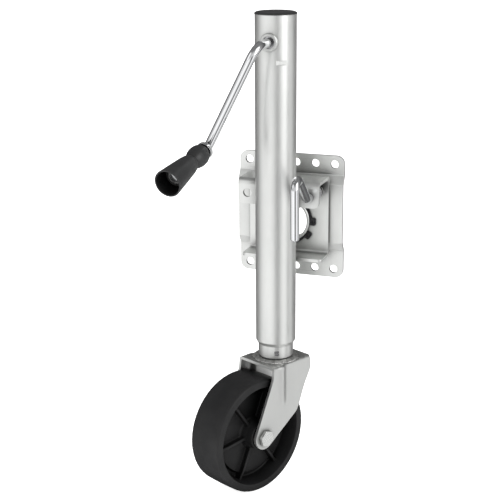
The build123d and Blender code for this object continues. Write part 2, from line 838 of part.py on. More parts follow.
with BuildPart() as axle_nut:
    with BuildSketch(axle.offset(-fork_front_half)):
        RegularPolygon(hex_half, 6, major_radius=False)
    extrude(amount=-nut_h)
    with BuildSketch(axle.offset(-fork_front_half - nut_h)):
        Circle(lock_collar_r)
    extrude(amount=-lock_collar_h)
    with BuildSketch(axle.offset(-fork_front_half)):
        Circle(axle_r)
    extrude(amount=-bolt_end, mode=Mode.SUBTRACT)
save(caster_place(axle_nut.part), "axle_nut")

with BuildPart() as axle_sleeve:
    with BuildSketch(axle.offset(-front_inside)):
        Circle(sleeve_r)
        Circle(axle_r, mode=Mode.SUBTRACT)
    extrude(amount=2 * front_inside)
save(caster_place(axle_sleeve.part), "axle_sleeve")

axle_washer_r = 14.0
side_play = 0.3
with BuildPart() as axle_washers:
    for start in (-front_inside, wheel_hub_half + side_play):
        with BuildSketch(axle.offset(start)):
            Circle(axle_washer_r)
            Circle(sleeve_r, mode=Mode.SUBTRACT)
        extrude(amount=front_inside - wheel_hub_half - side_play)
save(caster_place(axle_washers.part), "axle_washers")

# ---------------------------------------------------------------- wheel
rim_inner_r = 64.5
rim_web_r = 60.5          # where the rim's sloped inner wall meets the web
shoulder_r = 3.0
crown = 0.5               # how much lower the tread is beside its shoulders
crown_half = 13.0
web_half = 3.5
disc_half = 7.5           # the web is thicker inside the disc
disc_r = 54.0
wheel_hub_r = 18.0
wheel_bush_r = 11.0
rib_turn = 6.0
rib_thick = 3.6
rib_top = 14.0
wheel_axis = Axis((0, tube_y + wheel_y, axle_z), (1, 0, 0))
with BuildPart() as wheel:
    with BuildSketch(Plane(origin=(0, tube_y + wheel_y, axle_z), x_dir=(1, 0, 0), z_dir=(0, -1, 0))):
        with BuildLine() as half_section:
            Polyline(
                (0, wheel_bush_r),
                (wheel_hub_half, wheel_bush_r),
                (wheel_hub_half, wheel_hub_r - 1.5),
                (wheel_hub_half - 3, wheel_hub_r),
                (disc_half, wheel_hub_r + 2.5),
                (disc_half, disc_r),
                (web_half, disc_r + 1.5),
                (web_half, rim_web_r),
                (wheel_half_w, rim_inner_r),
                (wheel_half_w, wheel_r - crown - shoulder_r),
            )
            RadiusArc(
                (wheel_half_w, wheel_r - crown - shoulder_r),
                (wheel_half_w - shoulder_r, wheel_r - crown),
                -shoulder_r,
            )
            Line((wheel_half_w - shoulder_r, wheel_r - crown), (crown_half, wheel_r - 0.2 * crown))
            ThreePointArc(
                (crown_half, wheel_r - 0.2 * crown),
                (0.5 * crown_half, wheel_r - 0.05 * crown),
                (0, wheel_r),
            )
            mirror(about=Plane.YZ)
        make_face()
    revolve(axis=wheel_axis)
    # six ribs on each side of the web
    for side in (-1, 1):
        with BuildSketch(axle.offset(side * web_half)):
            with PolarLocations(0.5 * (wheel_hub_r + rim_web_r), 6, start_angle=180 + rib_turn):
                Rectangle(rim_web_r - wheel_hub_r + 3, rib_thick)
        extrude(amount=side * (rib_top - web_half), taper=1)
save(caster_place(wheel.part), "wheel")

with BuildPart() as wheel_bushing:
    with BuildSketch(axle.offset(-wheel_hub_half)):
        Circle(wheel_bush_r)
        Circle(sleeve_r + run_clear, mode=Mode.SUBTRACT)
    extrude(amount=2 * wheel_hub_half)
save(caster_place(wheel_bushing.part), "wheel_bushing")
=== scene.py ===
import json
from math import acos, cos, pi, radians, sin, tan

import bmesh
import bpy
from mathutils import Matrix, Vector, noise


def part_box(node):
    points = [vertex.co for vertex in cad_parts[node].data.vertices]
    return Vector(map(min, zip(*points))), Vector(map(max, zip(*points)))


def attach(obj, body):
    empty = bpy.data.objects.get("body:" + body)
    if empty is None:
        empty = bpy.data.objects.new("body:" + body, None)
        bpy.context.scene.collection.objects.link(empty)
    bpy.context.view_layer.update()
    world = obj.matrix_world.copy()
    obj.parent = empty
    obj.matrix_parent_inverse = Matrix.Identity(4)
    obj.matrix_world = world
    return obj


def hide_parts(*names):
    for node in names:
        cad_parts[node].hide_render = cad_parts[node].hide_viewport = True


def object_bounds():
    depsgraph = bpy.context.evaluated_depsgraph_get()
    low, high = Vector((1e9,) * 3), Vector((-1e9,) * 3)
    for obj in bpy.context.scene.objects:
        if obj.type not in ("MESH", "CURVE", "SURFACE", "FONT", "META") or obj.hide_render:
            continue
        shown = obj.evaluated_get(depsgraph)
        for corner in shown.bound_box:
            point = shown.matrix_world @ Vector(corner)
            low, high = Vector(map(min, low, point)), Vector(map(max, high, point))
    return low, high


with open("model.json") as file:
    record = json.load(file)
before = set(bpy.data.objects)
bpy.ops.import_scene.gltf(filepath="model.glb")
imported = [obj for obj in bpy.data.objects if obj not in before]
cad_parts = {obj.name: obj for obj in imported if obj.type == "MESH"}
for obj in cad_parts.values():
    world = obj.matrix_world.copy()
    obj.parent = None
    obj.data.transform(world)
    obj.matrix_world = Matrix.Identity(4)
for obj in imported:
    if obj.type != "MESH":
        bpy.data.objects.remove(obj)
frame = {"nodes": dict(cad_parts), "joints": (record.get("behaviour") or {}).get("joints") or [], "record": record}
cad_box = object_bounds()
nodes = frame["nodes"]
joints = {joint["name"]: joint for joint in frame["joints"]}
MM = 0.001


# ---------------------------------------------------------------- camera, floor and light
camera_azimuth = radians(19.75)
camera_pitch = radians(16.32)
camera_roll = radians(-0.36)
camera_distance = 1.5606
camera_target = Vector((-0.0344, -0.068, -0.0343))
camera_lens = 88.66


def add_camera():
    """The camera stands in front and to the right, above the jack's middle."""
    data = bpy.data.cameras.new("camera")
    data.lens = camera_lens
    data.sensor_width = 36.0
    data.clip_end = 50.0
    camera = bpy.data.objects.new("camera", data)
    bpy.context.scene.collection.objects.link(camera)
    back = Vector(
        (
            sin(camera_azimuth) * cos(camera_pitch),
            -cos(camera_azimuth) * cos(camera_pitch),
            sin(camera_pitch),
        )
    )
    turn = back.to_track_quat("Z", "Y").to_matrix().to_4x4()
    roll = Matrix.Rotation(camera_roll, 4, "Z")
    camera.matrix_world = Matrix.Translation(camera_target + back * camera_distance) @ turn @ roll
    bpy.context.scene.camera = camera


def add_floor():
    """A plain pale floor under the wheel."""
    mesh = bpy.data.meshes.new("floor")
    size = 30.0
    z = cad_box[0].z
    corners = [(-size, -size, z), (size, -size, z), (size, size, z), (-size, size, z)]
    mesh.from_pydata(corners, [], [(0, 1, 2, 3)])
    floor = bpy.data.objects.new("floor", mesh)
    bpy.context.scene.collection.objects.link(floor)
    material = bpy.data.materials.new("floor_white")
    material.use_nodes = True
    shader = material.node_tree.nodes["Principled BSDF"]
    shader.inputs["Base Color"].default_value = (0.97, 0.97, 0.97, 1)
    shader.inputs["Roughness"].default_value = 0.9
    shader.inputs["Specular IOR Level"].default_value = 0.1
    shader.inputs["Emission Color"].default_value = (1, 1, 1, 1)
    shader.inputs["Emission Strength"].default_value = 0.8
    mesh.materials.append(material)
    floor.visible_glossy = False


def add_area(name, azimuth, elevation, distance, size, power):
    """A soft box that faces the jack's middle; its azimuth is counted from the front towards +X."""
    data = bpy.data.lights.new(name, "AREA")
    data.shape = "RECTANGLE"
    data.size, data.size_y = size
    data.energy = power
    light = bpy.data.objects.new(name, data)
    bpy.context.scene.collection.objects.link(light)
    a, e = radians(azimuth), radians(elevation)
    away = Vector((sin(a) * cos(e), -cos(a) * cos(e), sin(e)))
    middle = (cad_box[0] + cad_box[1]) / 2
    turn = away.to_track_quat("Z", "Y").to_matrix().to_4x4()
    light.matrix_world = Matrix.Translation(middle + away * distance) @ turn


def ranged(tree, value, start, end, low=0.0, high=1.0):
    """A value's range from start to end, spread over low to high and held there."""
    node = tree.nodes.new("ShaderNodeMapRange")
    node.inputs["From Min"].default_value = start
    node.inputs["From Max"].default_value = end
    node.inputs["To Min"].default_value = low
    node.inputs["To Max"].default_value = high
    tree.links.new(value, node.inputs["Value"])
    return node.outputs[0]


def blended(tree, fac, a, b):
    """A colour between two, each of them a tuple or another node's colour."""
    node = tree.nodes.new("ShaderNodeMix")
    node.data_type = "RGBA"
    tree.links.new(fac, node.inputs["Factor"])
    for name, value in (("A", a), ("B", b)):
        if isinstance(value, tuple):
            node.inputs[name].default_value = (*value, 1)
        else:
            tree.links.new(value, node.inputs[name])
    return node.outputs["Result"]


# The studio's walls as (direction, brightness), low down and high up. A direction of 0.5 is in front of
# the jack (-Y), 0.75 is +X, 0.25 is -X, and 0 and 1 are behind it.
walls_low = [
    (0.0, 0.14),
    (0.07, 0.12),
    (0.13, 0.08),
    (0.24, 0.22),
    (0.32, 0.95),
    (0.46, 1.15),
    (0.535, 0.85),
    (0.56, 0.16),
    (0.615, 0.16),
    (0.635, 1.0),
    (0.73, 1.05),
    (0.75, 0.15),
    (0.775, 0.15),
    (0.79, 0.9),
    (0.82, 0.8),
    (0.85, 0.35),
    (0.88, 0.12),
    (1.0, 0.14),
]
walls_high = [
    (0.0, 0.12),
    (0.2, 0.12),
    (0.32, 0.42),
    (0.5, 0.6),
    (0.72, 0.85),
    (0.82, 0.25),
    (0.9, 0.1),
    (1.0, 0.12),
]
ceiling = (0.2, 0.2, 0.2)
room_light = (1.06, 1.06, 1.06)


def studio_ramp(tree, turn, stops):
    """Brightness of the studio's walls by compass direction."""
    ramp = tree.nodes.new("ShaderNodeValToRGB")
    elements = ramp.color_ramp.elements
    while len(elements) < len(stops):
        elements.new(0.5)
    for element, (position, value) in zip(elements, stops):
        element.position = position
        element.color = (value, value, value, 1)
    tree.links.new(turn, ramp.inputs["Fac"])
    return ramp.outputs["Color"]


def add_world():
    """A white room, in which metal reflects a studio with dark gaps between its white walls."""
    world = bpy.data.worlds.new("studio")
    bpy.context.scene.world = world
    world.use_nodes = True
    tree = world.node_tree
    tree.nodes.clear()
    new = tree.nodes.new
    link = tree.links.new
    parts = new("ShaderNodeSeparateXYZ")
    link(new("ShaderNodeTexCoord").outputs["Generated"], parts.inputs[0])
    forward = new("ShaderNodeMath")
    forward.operation = "MULTIPLY"
    forward.inputs[1].default_value = -1
    link(parts.outputs["Y"], forward.inputs[0])
    angle = new("ShaderNodeMath")
    angle.operation = "ARCTAN2"
    link(parts.outputs["X"], angle.inputs[0])
    link(forward.outputs[0], angle.inputs[1])
    turn = ranged(tree, angle.outputs[0], -pi, pi)
    low = studio_ramp(tree, turn, walls_low)
    high = studio_ramp(tree, turn, walls_high)
    walls = blended(tree, ranged(tree, parts.outputs["Z"], -0.08, 0.12), low, high)
    studio = blended(tree, ranged(tree, parts.outputs["Z"], 0.45, 0.8), walls, ceiling)
    rays = new("ShaderNodeLightPath")
    room = blended(tree, rays.outputs["Is Glossy Ray"], room_light, studio)
    background = new("ShaderNodeBackground")
    link(room, background.inputs["Color"])
    background.inputs["Strength"].default_value = 1.0
    output = new("ShaderNodeOutputWorld")
    link(background.outputs[0], output.inputs["Surface"])


bpy.context.scene.view_settings.view_transform = "Standard"
add_camera()
add_floor()
add_world()
add_area("key", 72, 30, 1.6, (0.9, 1.4), 9)
add_area("fill", -45, 30, 1.8, (1.0, 1.2), 2.4)


# ---------------------------------------------------------------- materials
class Paint:
    """A node material under construction: a Principled shader and a few helpers."""

    def __init__(self, name):
        self.material = bpy.data.materials.new(name)
        self.material.use_nodes = True
        self.tree = self.material.node_tree
        self.shader = self.tree.nodes["Principled BSDF"]
        self.place = self.tree.nodes.new("ShaderNodeTexCoord").outputs["Object"]

    def link(self, a, b):
        self.tree.links.new(a, b)

    def set(self, socket, value):
        self.shader.inputs[socket].default_value = value

    def stretched(self, scale):
        """The place, stretched by a factor along each axis."""
        mapping = self.tree.nodes.new("ShaderNodeMapping")
        mapping.inputs["Scale"].default_value = scale
        self.link(self.place, mapping.inputs["Vector"])
        return mapping.outputs[0]

    def noise(self, scale, detail=4.0, roughness=0.55, place=None):
        node = self.tree.nodes.new("ShaderNodeTexNoise")
        node.inputs["Scale"].default_value = scale
        node.inputs["Detail"].default_value = detail
        node.inputs["Roughness"].default_value = roughness
        self.link(place or self.place, node.inputs["Vector"])
        return node.outputs["Fac"]

    def spots(self, scale):
        node = self.tree.nodes.new("ShaderNodeTexVoronoi")
        node.inputs["Scale"].default_value = scale
        self.link(self.place, node.inputs["Vector"])
        return node.outputs["Distance"]

    def mapped(self, value, low, high, start=0.3, end=0.7):
        return ranged(self.tree, value, start, end, low, high)

    def near(self, centre, reach, full):
        """1 within a distance of a point, falling to 0 at the reach."""
        node = self.tree.nodes.new("ShaderNodeVectorMath")
        node.operation = "DISTANCE"
        node.inputs[1].default_value = centre
        self.link(self.place, node.inputs[0])
        return self.mapped(node.outputs["Value"], 1, 0, full, reach)

    def facing_up(self):
        """1 on faces that look up, 0 on upright ones."""
        shape = self.tree.nodes.new("ShaderNodeNewGeometry")
        parts = self.tree.nodes.new("ShaderNodeSeparateXYZ")
        self.link(shape.outputs["Normal"], parts.inputs[0])
        return self.mapped(parts.outputs["Z"], 0, 1, 0.4, 0.8)

    def painted_hollow_shade(self, reach, closed, open_):
        """0 deep in a corner or a hole and 1 in the open, from ambient occlusion: the mask for painted shade in
        corners and holes.
        """
        node = self.tree.nodes.new("ShaderNodeAmbientOcclusion")
        node.samples = 12
        node.inputs["Distance"].default_value = reach
        return self.mapped(node.outputs["AO"], 0, 1, closed, open_)

    def product(self, a, b):
        node = self.tree.nodes.new("ShaderNodeMath")
        node.operation = "MULTIPLY"
        self.link(a, node.inputs[0])
        self.link(b, node.inputs[1])
        return node.outputs[0]

    def mixed(self, fac, a, b):
        return blended(self.tree, fac, a, b)

    def clouded(self, scale, dark, light, detail=4.0):
        """A colour that drifts between two in soft clouds."""
        return self.mixed(self.mapped(self.noise(scale, detail), 0, 1), dark, light)

    def color(self, scale, dark, light, detail=4.0):
        self.link(self.clouded(scale, dark, light, detail), self.shader.inputs["Base Color"])

    def towards(self, fac, value, end):
        """A value that goes to an end value as the factor goes to 1."""
        node = self.tree.nodes.new("ShaderNodeMix")
        self.link(fac, node.inputs["Factor"])
        self.link(value, node.inputs["A"])
        node.inputs["B"].default_value = end
        return node.outputs["Result"]

    def bump(self, height, distance, strength):
        """Relief on the shader's normal, over any that is there already."""
        node = self.tree.nodes.new("ShaderNodeBump")
        node.inputs["Distance"].default_value = distance
        node.inputs["Strength"].default_value = strength
        self.link(height, node.inputs["Height"])
        if self.shader.inputs["Normal"].is_linked:
            self.link(self.shader.inputs["Normal"].links[0].from_socket, node.inputs["Normal"])
        self.link(node.outputs[0], self.shader.inputs["Normal"])


def zinc(name, drawn, heat=None, shine=0.0):
    """Satin zinc plate, with faint drawn lines and soft clouds, grainy on top near a weld, and painted shade in
    corners.

    Heat is the weld's centre, how far its grainy patch reaches and how far it is full. Shine is taken off
    the roughness.
    """
    paint = Paint(name)
    paint.set("Metallic", 0.92)
    color = paint.clouded(16, (0.76, 0.771, 0.755), (0.81, 0.817, 0.802))
    lines = paint.noise(220, 3, 0.6, paint.stretched(drawn))
    fine = paint.noise(1500, 2, 0.5)
    rough = paint.mapped(lines, 0.33 - shine, 0.41 - shine)
    if heat:
        centre, reach, full = heat
        grain = paint.mapped(paint.noise(260, 4), 0.35, 1.0)
        patch = paint.product(paint.product(paint.near(centre, reach, full), grain), paint.facing_up())
        color = paint.mixed(patch, color, (0.33, 0.33, 0.32))
        rough = paint.towards(patch, rough, 0.42)
        paint.bump(paint.product(patch, paint.noise(420, 4)), 0.0008, 0.5)
    # painted shade: the colour goes dark grey deep in corners and holes, where shade falls
    color = paint.mixed(paint.painted_hollow_shade(0.02, 0.3, 0.95), (0.1, 0.1, 0.098), color)
    paint.link(color, paint.shader.inputs["Base Color"])
    paint.link(rough, paint.shader.inputs["Roughness"])
    paint.bump(lines, 0.00001, 0.3)
    paint.bump(fine, 0.000004, 0.2)
    return paint.material


def chrome():
    """Bright plated rod, with slight waves from drawing and bending, and painted shade in hollows."""
    paint = Paint("chrome_rod")
    paint.set("Metallic", 1.0)
    color = paint.clouded(40, (0.84, 0.85, 0.865), (0.9, 0.905, 0.915))
    # painted shade: the colour goes nearly black deep in hollows, where shade falls
    color = paint.mixed(paint.painted_hollow_shade(0.02, 0.25, 0.8), (0.06, 0.06, 0.06), color)
    paint.link(color, paint.shader.inputs["Base Color"])
    paint.link(paint.mapped(paint.noise(420, 3), 0.07, 0.12), paint.shader.inputs["Roughness"])
    paint.bump(paint.noise(60, 2), 0.00004, 0.3)
    return paint.material


def machined():
    """Oiled steel with fine turning marks."""
    paint = Paint("hardened_steel")
    paint.set("Metallic", 1.0)
    paint.color(60, (0.42, 0.42, 0.43), (0.56, 0.56, 0.57))
    paint.link(paint.mapped(paint.noise(500, 3), 0.2, 0.34), paint.shader.inputs["Roughness"])
    paint.bump(paint.noise(900, 2, 0.5, paint.stretched((1, 1, 6))), 0.00003, 0.5)
    return paint.material


def weld():
    """A weld bead under the zinc plate: grainy and a little darker, with spatter."""
    paint = Paint("weld_metal")
    paint.set("Metallic", 1.0)
    paint.color(240, (0.42, 0.42, 0.41), (0.78, 0.78, 0.76), 5)
    paint.link(paint.mapped(paint.noise(400, 3), 0.28, 0.46), paint.shader.inputs["Roughness"])
    paint.bump(paint.noise(620, 4), 0.0003, 0.6)
    return paint.material


def phosphate():
    """Black phosphated spring steel."""
    paint = Paint("black_phosphate")
    paint.set("Metallic", 0.6)
    paint.color(150, (0.018, 0.018, 0.02), (0.045, 0.045, 0.047))
    paint.link(paint.mapped(paint.noise(600, 3), 0.35, 0.5), paint.shader.inputs["Roughness"])
    paint.bump(paint.noise(1500, 3), 0.00004, 0.6)
    return paint.material


def bronze():
    """Sintered bronze, with open pores."""
    paint = Paint("bronze")
    paint.set("Metallic", 1.0)
    paint.color(80, (0.48, 0.33, 0.16), (0.62, 0.46, 0.25))
    paint.link(paint.mapped(paint.noise(900, 3), 0.35, 0.5), paint.shader.inputs["Roughness"])
    paint.bump(paint.spots(2500), 0.00003, 0.5)
    return paint.material


def plastic(name, dark, light, rough, grain, depth, shine):
    """Moulded black plastic: faint clouding, a fine spark-eroded grain, slight waviness, and painted shade in
    hollows.
    """
    paint = Paint(name)
    color = paint.clouded(30, dark, light, 5)
    # painted shade: the colour goes to black deep in recesses, where shade falls
    color = paint.mixed(paint.painted_hollow_shade(0.04, 0.35, 0.97), (0.002, 0.002, 0.002), color)
    paint.link(color, paint.shader.inputs["Base Color"])
    paint.set("Specular IOR Level", shine)
    paint.link(paint.mapped(paint.noise(70, 4), rough - 0.05, rough + 0.07), paint.shader.inputs["Roughness"])
    paint.bump(paint.noise(60, 2), 0.0002, 0.15)
    paint.bump(paint.noise(grain, 3, 0.6), depth, 0.6)
    return paint.material


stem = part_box("stem_weld")
weld_centre = Vector(((stem[0].x + stem[1].x) / 2, (stem[0].y + stem[1].y) / 2, stem[0].z))
along_tube = (1, 1, 0.3)
materials = {
    "zinc_steel": zinc("zinc_steel", along_tube),
    "chrome_rod": chrome(),
    "hardened_steel": machined(),
    "weld_metal": weld(),
    "black_phosphate": phosphate(),
    "bronze": bronze(),
}
# dark and light colour, roughness, the grain's fineness and depth, and the specular level
for name, *look in (
    ("black_plastic", (0.02, 0.02, 0.02), (0.032, 0.032, 0.033), 0.34, 1800, 0.00002, 0.4),
    ("black_grip", (0.018, 0.0185, 0.019), (0.026, 0.0265, 0.027), 0.38, 1500, 0.00005, 0.4),
    ("black_wheel", (0.013, 0.013, 0.0135), (0.02, 0.02, 0.0205), 0.42, 1700, 0.00004, 0.17),
):
    materials[name] = plastic(name, *look)
fork_zinc = zinc("fork_zinc", along_tube, (weld_centre, 0.06, 0.036))
fastener_zinc = zinc("fastener_zinc", (1, 1, 1), None, 0.14)
zinc_of_node = {"axle_bolt": fastener_zinc, "axle_nut": fastener_zinc}

body_of_node = {}
slot_of_node = {}
for body, names in frame["record"]["behaviour"]["bodies"].items():
    for name in names:
        body_of_node[name] = body
for subpart in frame["record"]["subparts"]:
    name = subpart["node"]
    slot = subpart["material_slot"]
    slot_of_node[name] = slot
    nodes[name].data.materials.clear()
    nodes[name].data.materials.append(zinc_of_node.get(name, materials[slot]))


# ---------------------------------------------------------------- mesh helpers
same_point = 0.001 * MM


def add_piece(name, mesh, stands_for, material=None):
    """A finished mesh that replaces one CAD node, on the same body and with the same finish."""
    piece = bpy.data.objects.new(name, mesh)
    bpy.context.scene.collection.objects.link(piece)
    slot = slot_of_node[stands_for]
    mesh.materials.append(material or materials[slot])
    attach(piece, body_of_node[stands_for])
    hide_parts(stands_for)
    return piece


def mesh_from(name, points, faces, sharp=40):
    """A smooth-shaded mesh whose folds sharper than an angle stay crisp."""
    mesh = bpy.data.meshes.new(name)
    mesh.from_pydata([tuple(p) for p in points], [], faces)
    work = bmesh.new()
    work.from_mesh(mesh)
    bmesh.ops.remove_doubles(work, verts=work.verts, dist=same_point)
    bmesh.ops.recalc_face_normals(work, faces=work.faces)
    for face in work.faces:
        face.smooth = True
    for edge in work.edges:
        edge.smooth = len(edge.link_faces) < 2 or edge.calc_face_angle(0) < radians(sharp)
    work.to_mesh(mesh)
    work.free()
    return mesh


def grid_faces(rows, columns, wrap_rows=False, wrap_columns=False):
    """Quads over a grid of points stored row by row."""
    faces = []
    for i in range(rows if wrap_rows else rows - 1):
        for j in range(columns if wrap_columns else columns - 1):
            i2 = (i + 1) % rows
            j2 = (j + 1) % columns
            faces.append((i * columns + j, i * columns + j2, i2 * columns + j2, i2 * columns + j))
    return faces


def rounded(corners, steps=5):
    """An outline through corners (x, y, radius), each rounded by a tangent arc; the ends stay sharp."""
    points = []
    for i, (x, y, r) in enumerate(corners):
        here = Vector((x, y))
        if r == 0 or i in (0, len(corners) - 1):
            points.append(here)
            continue
        before = (Vector(corners[i - 1][:2]) - here).normalized()
        after = (Vector(corners[i + 1][:2]) - here).normalized()
        half = 0.5 * acos(max(-1, min(1, before.dot(after))))
        away = (before + after).normalized()
        centre = here + away * (r / sin(half))
        first = here + before * (r / tan(half)) - centre
        last = here + after * (r / tan(half)) - centre
        for k in range(steps + 1):
            t = k / steps
            points.append(centre + (first * (1 - t) + last * t).normalized() * r)
    return points


def smooth_curve(knots, steps):
    """A Catmull-Rom curve through the knots."""
    points = []
    for i in range(len(knots) - 1):
        a = Vector(knots[max(i - 1, 0)])
        b = Vector(knots[i])
        c = Vector(knots[i + 1])
        d = Vector(knots[min(i + 2, len(knots) - 1)])
        square = 2 * a - 5 * b + 4 * c - d
        cube = 3 * b - a - 3 * c + d
        for k in range(steps):
            t = k / steps
            points.append(0.5 * (2 * b + (c - a) * t + square * t * t + cube * t ** 3))
    points.append(Vector(knots[-1]))
    return points


def about(origin, axis):
    """A matrix whose Z is an axis through a point."""
    axis = Vector(axis).normalized()
    return Matrix.Translation(Vector(origin)) @ axis.to_track_quat("Z", "Y").to_matrix().to_4x4()


def lathe(name, outline, place, columns=96):
    """A closed outline of (along, radius) in mm, turned about a placed Z axis."""
    points = []
    for along, radius in outline:
        for j in range(columns):
            a = 2 * pi * j / columns
            points.append(place @ Vector((radius * MM * cos(a), radius * MM * sin(a), along * MM)))
    return mesh_from(name, points, grid_faces(len(outline), columns, True, True))


def smoothstep(low, high, value):
    """0 at one value and 1 at another, with a soft start and stop."""
    t = max(0.0, min(1.0, (value - low) / (high - low)))
    return t * t * (3 - 2 * t)


# ---------------------------------------------------------------- where the pieces go, from the frame
up = Vector((0, 0, 1))
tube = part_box("outer_tube")
tube_x = (tube[0].x + tube[1].x) / 2
inner_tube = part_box("inner_tube")
tube_y = (inner_tube[0].y + inner_tube[1].y) / 2
tube_r = (tube[1].x - tube[0].x) / 2 / MM
axle = Vector(joints["wheel_spin"]["axis"])
axle_centre = Vector(joints["wheel_spin"]["pos_m"])
rearward = up.cross(axle)
fork_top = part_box("caster_fork")[1].z


def frame_of(origin, x, y, z):
    """A matrix with these axes and origin."""
    return Matrix.Translation(origin) @ Matrix((x, y, z)).transposed().to_4x4()


caster_frame = frame_of(Vector((tube_x, tube_y, fork_top)), axle, rearward, up)


# ---------------------------------------------------------------- caster fork
# In the fork's own terms x is across, y is rearward from the stem and z is up from the fork's top, in mm.
fork_sheet = 3.5
fork_bend = 4.0
fork_front_half = 32.2
fork_rear_half = 29.7
fork_half_l = 34.0
joggle = (-17.5, -9.5)         # y where the sides step in, front to rear
joggle_fade = (-34, -62)       # z where the step dies out down the legs
swelling = 0.5
trail = 50.5
leg_end_r = 15.5
leg_end_arc = (236, 296)       # degrees, front to rear, of the round under the axle
stem_hole_r = 19.55
axle_drop = (axle_centre.z - fork_top) / MM
leg_end = Vector((-trail, axle_drop))


def even(points, count):
    """The same line with evenly spaced points."""
    lengths = [0.0]
    for a, b in zip(points, points[1:]):
        lengths.append(lengths[-1] + (b - a).length)
    out = []
    i = 0
    for k in range(count):
        want = lengths[-1] * k / (count - 1)
        while i < len(points) - 2 and lengths[i + 1] < want:
            i += 1
        t = (want - lengths[i]) / max(lengths[i + 1] - lengths[i], 1e-9)
        out.append(points[i].lerp(points[i + 1], t))
    return out


def fork_width(y, z):
    """Half the outside width: wide in front, with a soft step inwards that fades out down the legs."""
    fade = smoothstep(*joggle_fade, z)
    narrow = fork_rear_half + (fork_front_half - fork_rear_half) * fade
    swell = swelling * (1 - fade) * smoothstep(-27, -20, y) * smoothstep(-14, -19, y)
    return fork_front_half + swell + (narrow - fork_front_half) * smoothstep(*joggle, y)


def leg_end_point(degrees):
    """A point on the round end of a leg, as (y, z)."""
    return leg_end + Vector((cos(radians(degrees)), sin(radians(degrees)))) * leg_end_r


def leg_edges(rows):
    """The legs' front and rear edges from the bend down to the rounded end."""
    front_from, rear_from = 154, -54

    def arc(first, last):
        return [leg_end_point(first + (last - first) * k / 10) for k in range(11)]

    front = rounded(
        [(-fork_half_l, -fork_bend, 0), (-fork_half_l - 1.5, -16, 12), (*leg_end_point(front_from), 0)]
    )
    rear = rounded(
        [
            (fork_half_l, -fork_bend, 0),
            (fork_half_l, -17, 8),
            (6, axle_drop + 20.5, 10),
            (*leg_end_point(rear_from), 0),
        ]
    )
    front += arc(front_from, leg_end_arc[0])[1:]
    rear += arc(rear_from, leg_end_arc[1] - 360)[1:]
    return even(front, rows), even(rear, rows)


def fork_point(side, station, t, depth):
    """A point of the sheet, at a station between the top's middle and a leg's end, t from front to rear.

    A station is a share of the flat top, an angle of the bend, or a leg's front and rear points and how far
    the line between them bulges down to the leg's round end.
    """
    kind, value = station
    if kind == "top":
        y = fork_half_l * (2 * t - 1)
        return Vector((side * value * (fork_width(y, 0) - fork_bend), y, -depth))
    if kind == "bend":
        dip = 1.6 * sin(value)
        y = (fork_half_l - dip * sin(value)) * (2 * t - 1) if t > 0.5 else fork_half_l * (2 * t - 1)
        r = fork_bend - depth
        x = fork_width(y, 0) - fork_bend + r * sin(value)
        return Vector((side * x, y, -fork_bend + r * cos(value)))
    front, rear, low = value
    first, last = leg_end_arc
    chord = leg_end_point(first).lerp(leg_end_point(last), t)
    y, z = front.lerp(rear, t) + (leg_end_point(first + (last - first) * t) - chord) * low
    return Vector((side * (fork_width(y, z) - depth), y, z))


def cut_hole(mesh, radius, place, half):
    """Cut a round hole through a mesh, half its length to each side of the placed origin."""
    body = bpy.data.objects.new("body", mesh)
    axis_r = 0.001
    tool_outline = [(-half, axis_r), (half, axis_r), (half, radius), (-half, radius)]
    tool = bpy.data.objects.new("tool", lathe("tool", tool_outline, place, 72))
    for item in (body, tool):
        bpy.context.scene.collection.objects.link(item)
    cutter = body.modifiers.new("cut", "BOOLEAN")
    cutter.object = tool
    cutter.operation = "DIFFERENCE"
    cutter.solver = "EXACT"
    bpy.context.view_layer.update()
    result = bpy.data.meshes.new_from_object(body.evaluated_get(bpy.context.evaluated_depsgraph_get()))
    for item in (body, tool):
        bpy.data.objects.remove(item)
    return result


def make_fork():
    """The fork's pressed sheet: a top and two joggled legs that lean back from the wheel's axle."""
    rows = 44
    columns = 64
    top_steps = 8
    bend_steps = 5
    front, rear = leg_edges(rows)
    half = [("top", k / top_steps) for k in range(1, top_steps + 1)]
    half += [("bend", pi / 2 * k / bend_steps) for k in range(1, bend_steps)]
    half += [("leg", (front[k], rear[k], smoothstep(0.6, 1.0, k / (rows - 1)))) for k in range(rows)]
    stations = [(-1, s) for s in reversed(half)] + [(1, ("top", 0.0))] + [(1, s) for s in half]
    points = []
    for depth in (0.0, fork_sheet):
        for side, station in stations:
            for j in range(columns):
                points.append(caster_frame @ (fork_point(side, station, j / (columns - 1), depth) * MM))
    outer = grid_faces(len(stations), columns)
    shift = len(stations) * columns
    faces = outer + [tuple(reversed([i + shift for i in face])) for face in outer]
    last_row = shift - columns
    rims = [(i + j, i + columns + j) for i in range(0, last_row, columns) for j in (0, columns - 1)]
    rims += [(i + j, i + j + 1) for i in (0, last_row) for j in range(columns - 1)]
    faces += [(a, b, b + shift, a + shift) for a, b in rims]
    mesh = mesh_from("fork_pressing", points, faces)
    mesh = cut_hole(mesh, stem_hole_r, about((tube_x, tube_y, fork_top), up), 10)
    piece = add_piece("fork_pressing", mesh, "caster_fork", fork_zinc)
    soften(piece, 0.45)


def soften(piece, width):
    """A small round on every sharp edge, as on a pressed or moulded part."""
    bevel = piece.modifiers.new("edge_round", "BEVEL")
    bevel.width = width * MM
    bevel.segments = 2
    bevel.limit_method = "ANGLE"
    bevel.angle_limit = radians(35)
    bevel.harden_normals = True


# ---------------------------------------------------------------- CAD pieces that stay, with softer edges
def round_edges(name, width):
    """A small round on a CAD part's sharp edges; its mesh is first joined up along them."""
    join = nodes[name].modifiers.new("join", "WELD")
    join.merge_threshold = same_point
    soften(nodes[name], width)


for name, width in (
    ("mounting_plate", 0.5),
    ("swivel_bracket", 0.6),
    ("pivot_hub", 0.3),
    ("axle_bolt", 0.15),
    ("axle_nut", 0.15),
    ("handle_ferrule", 0.3),
):
    round_edges(name, width)


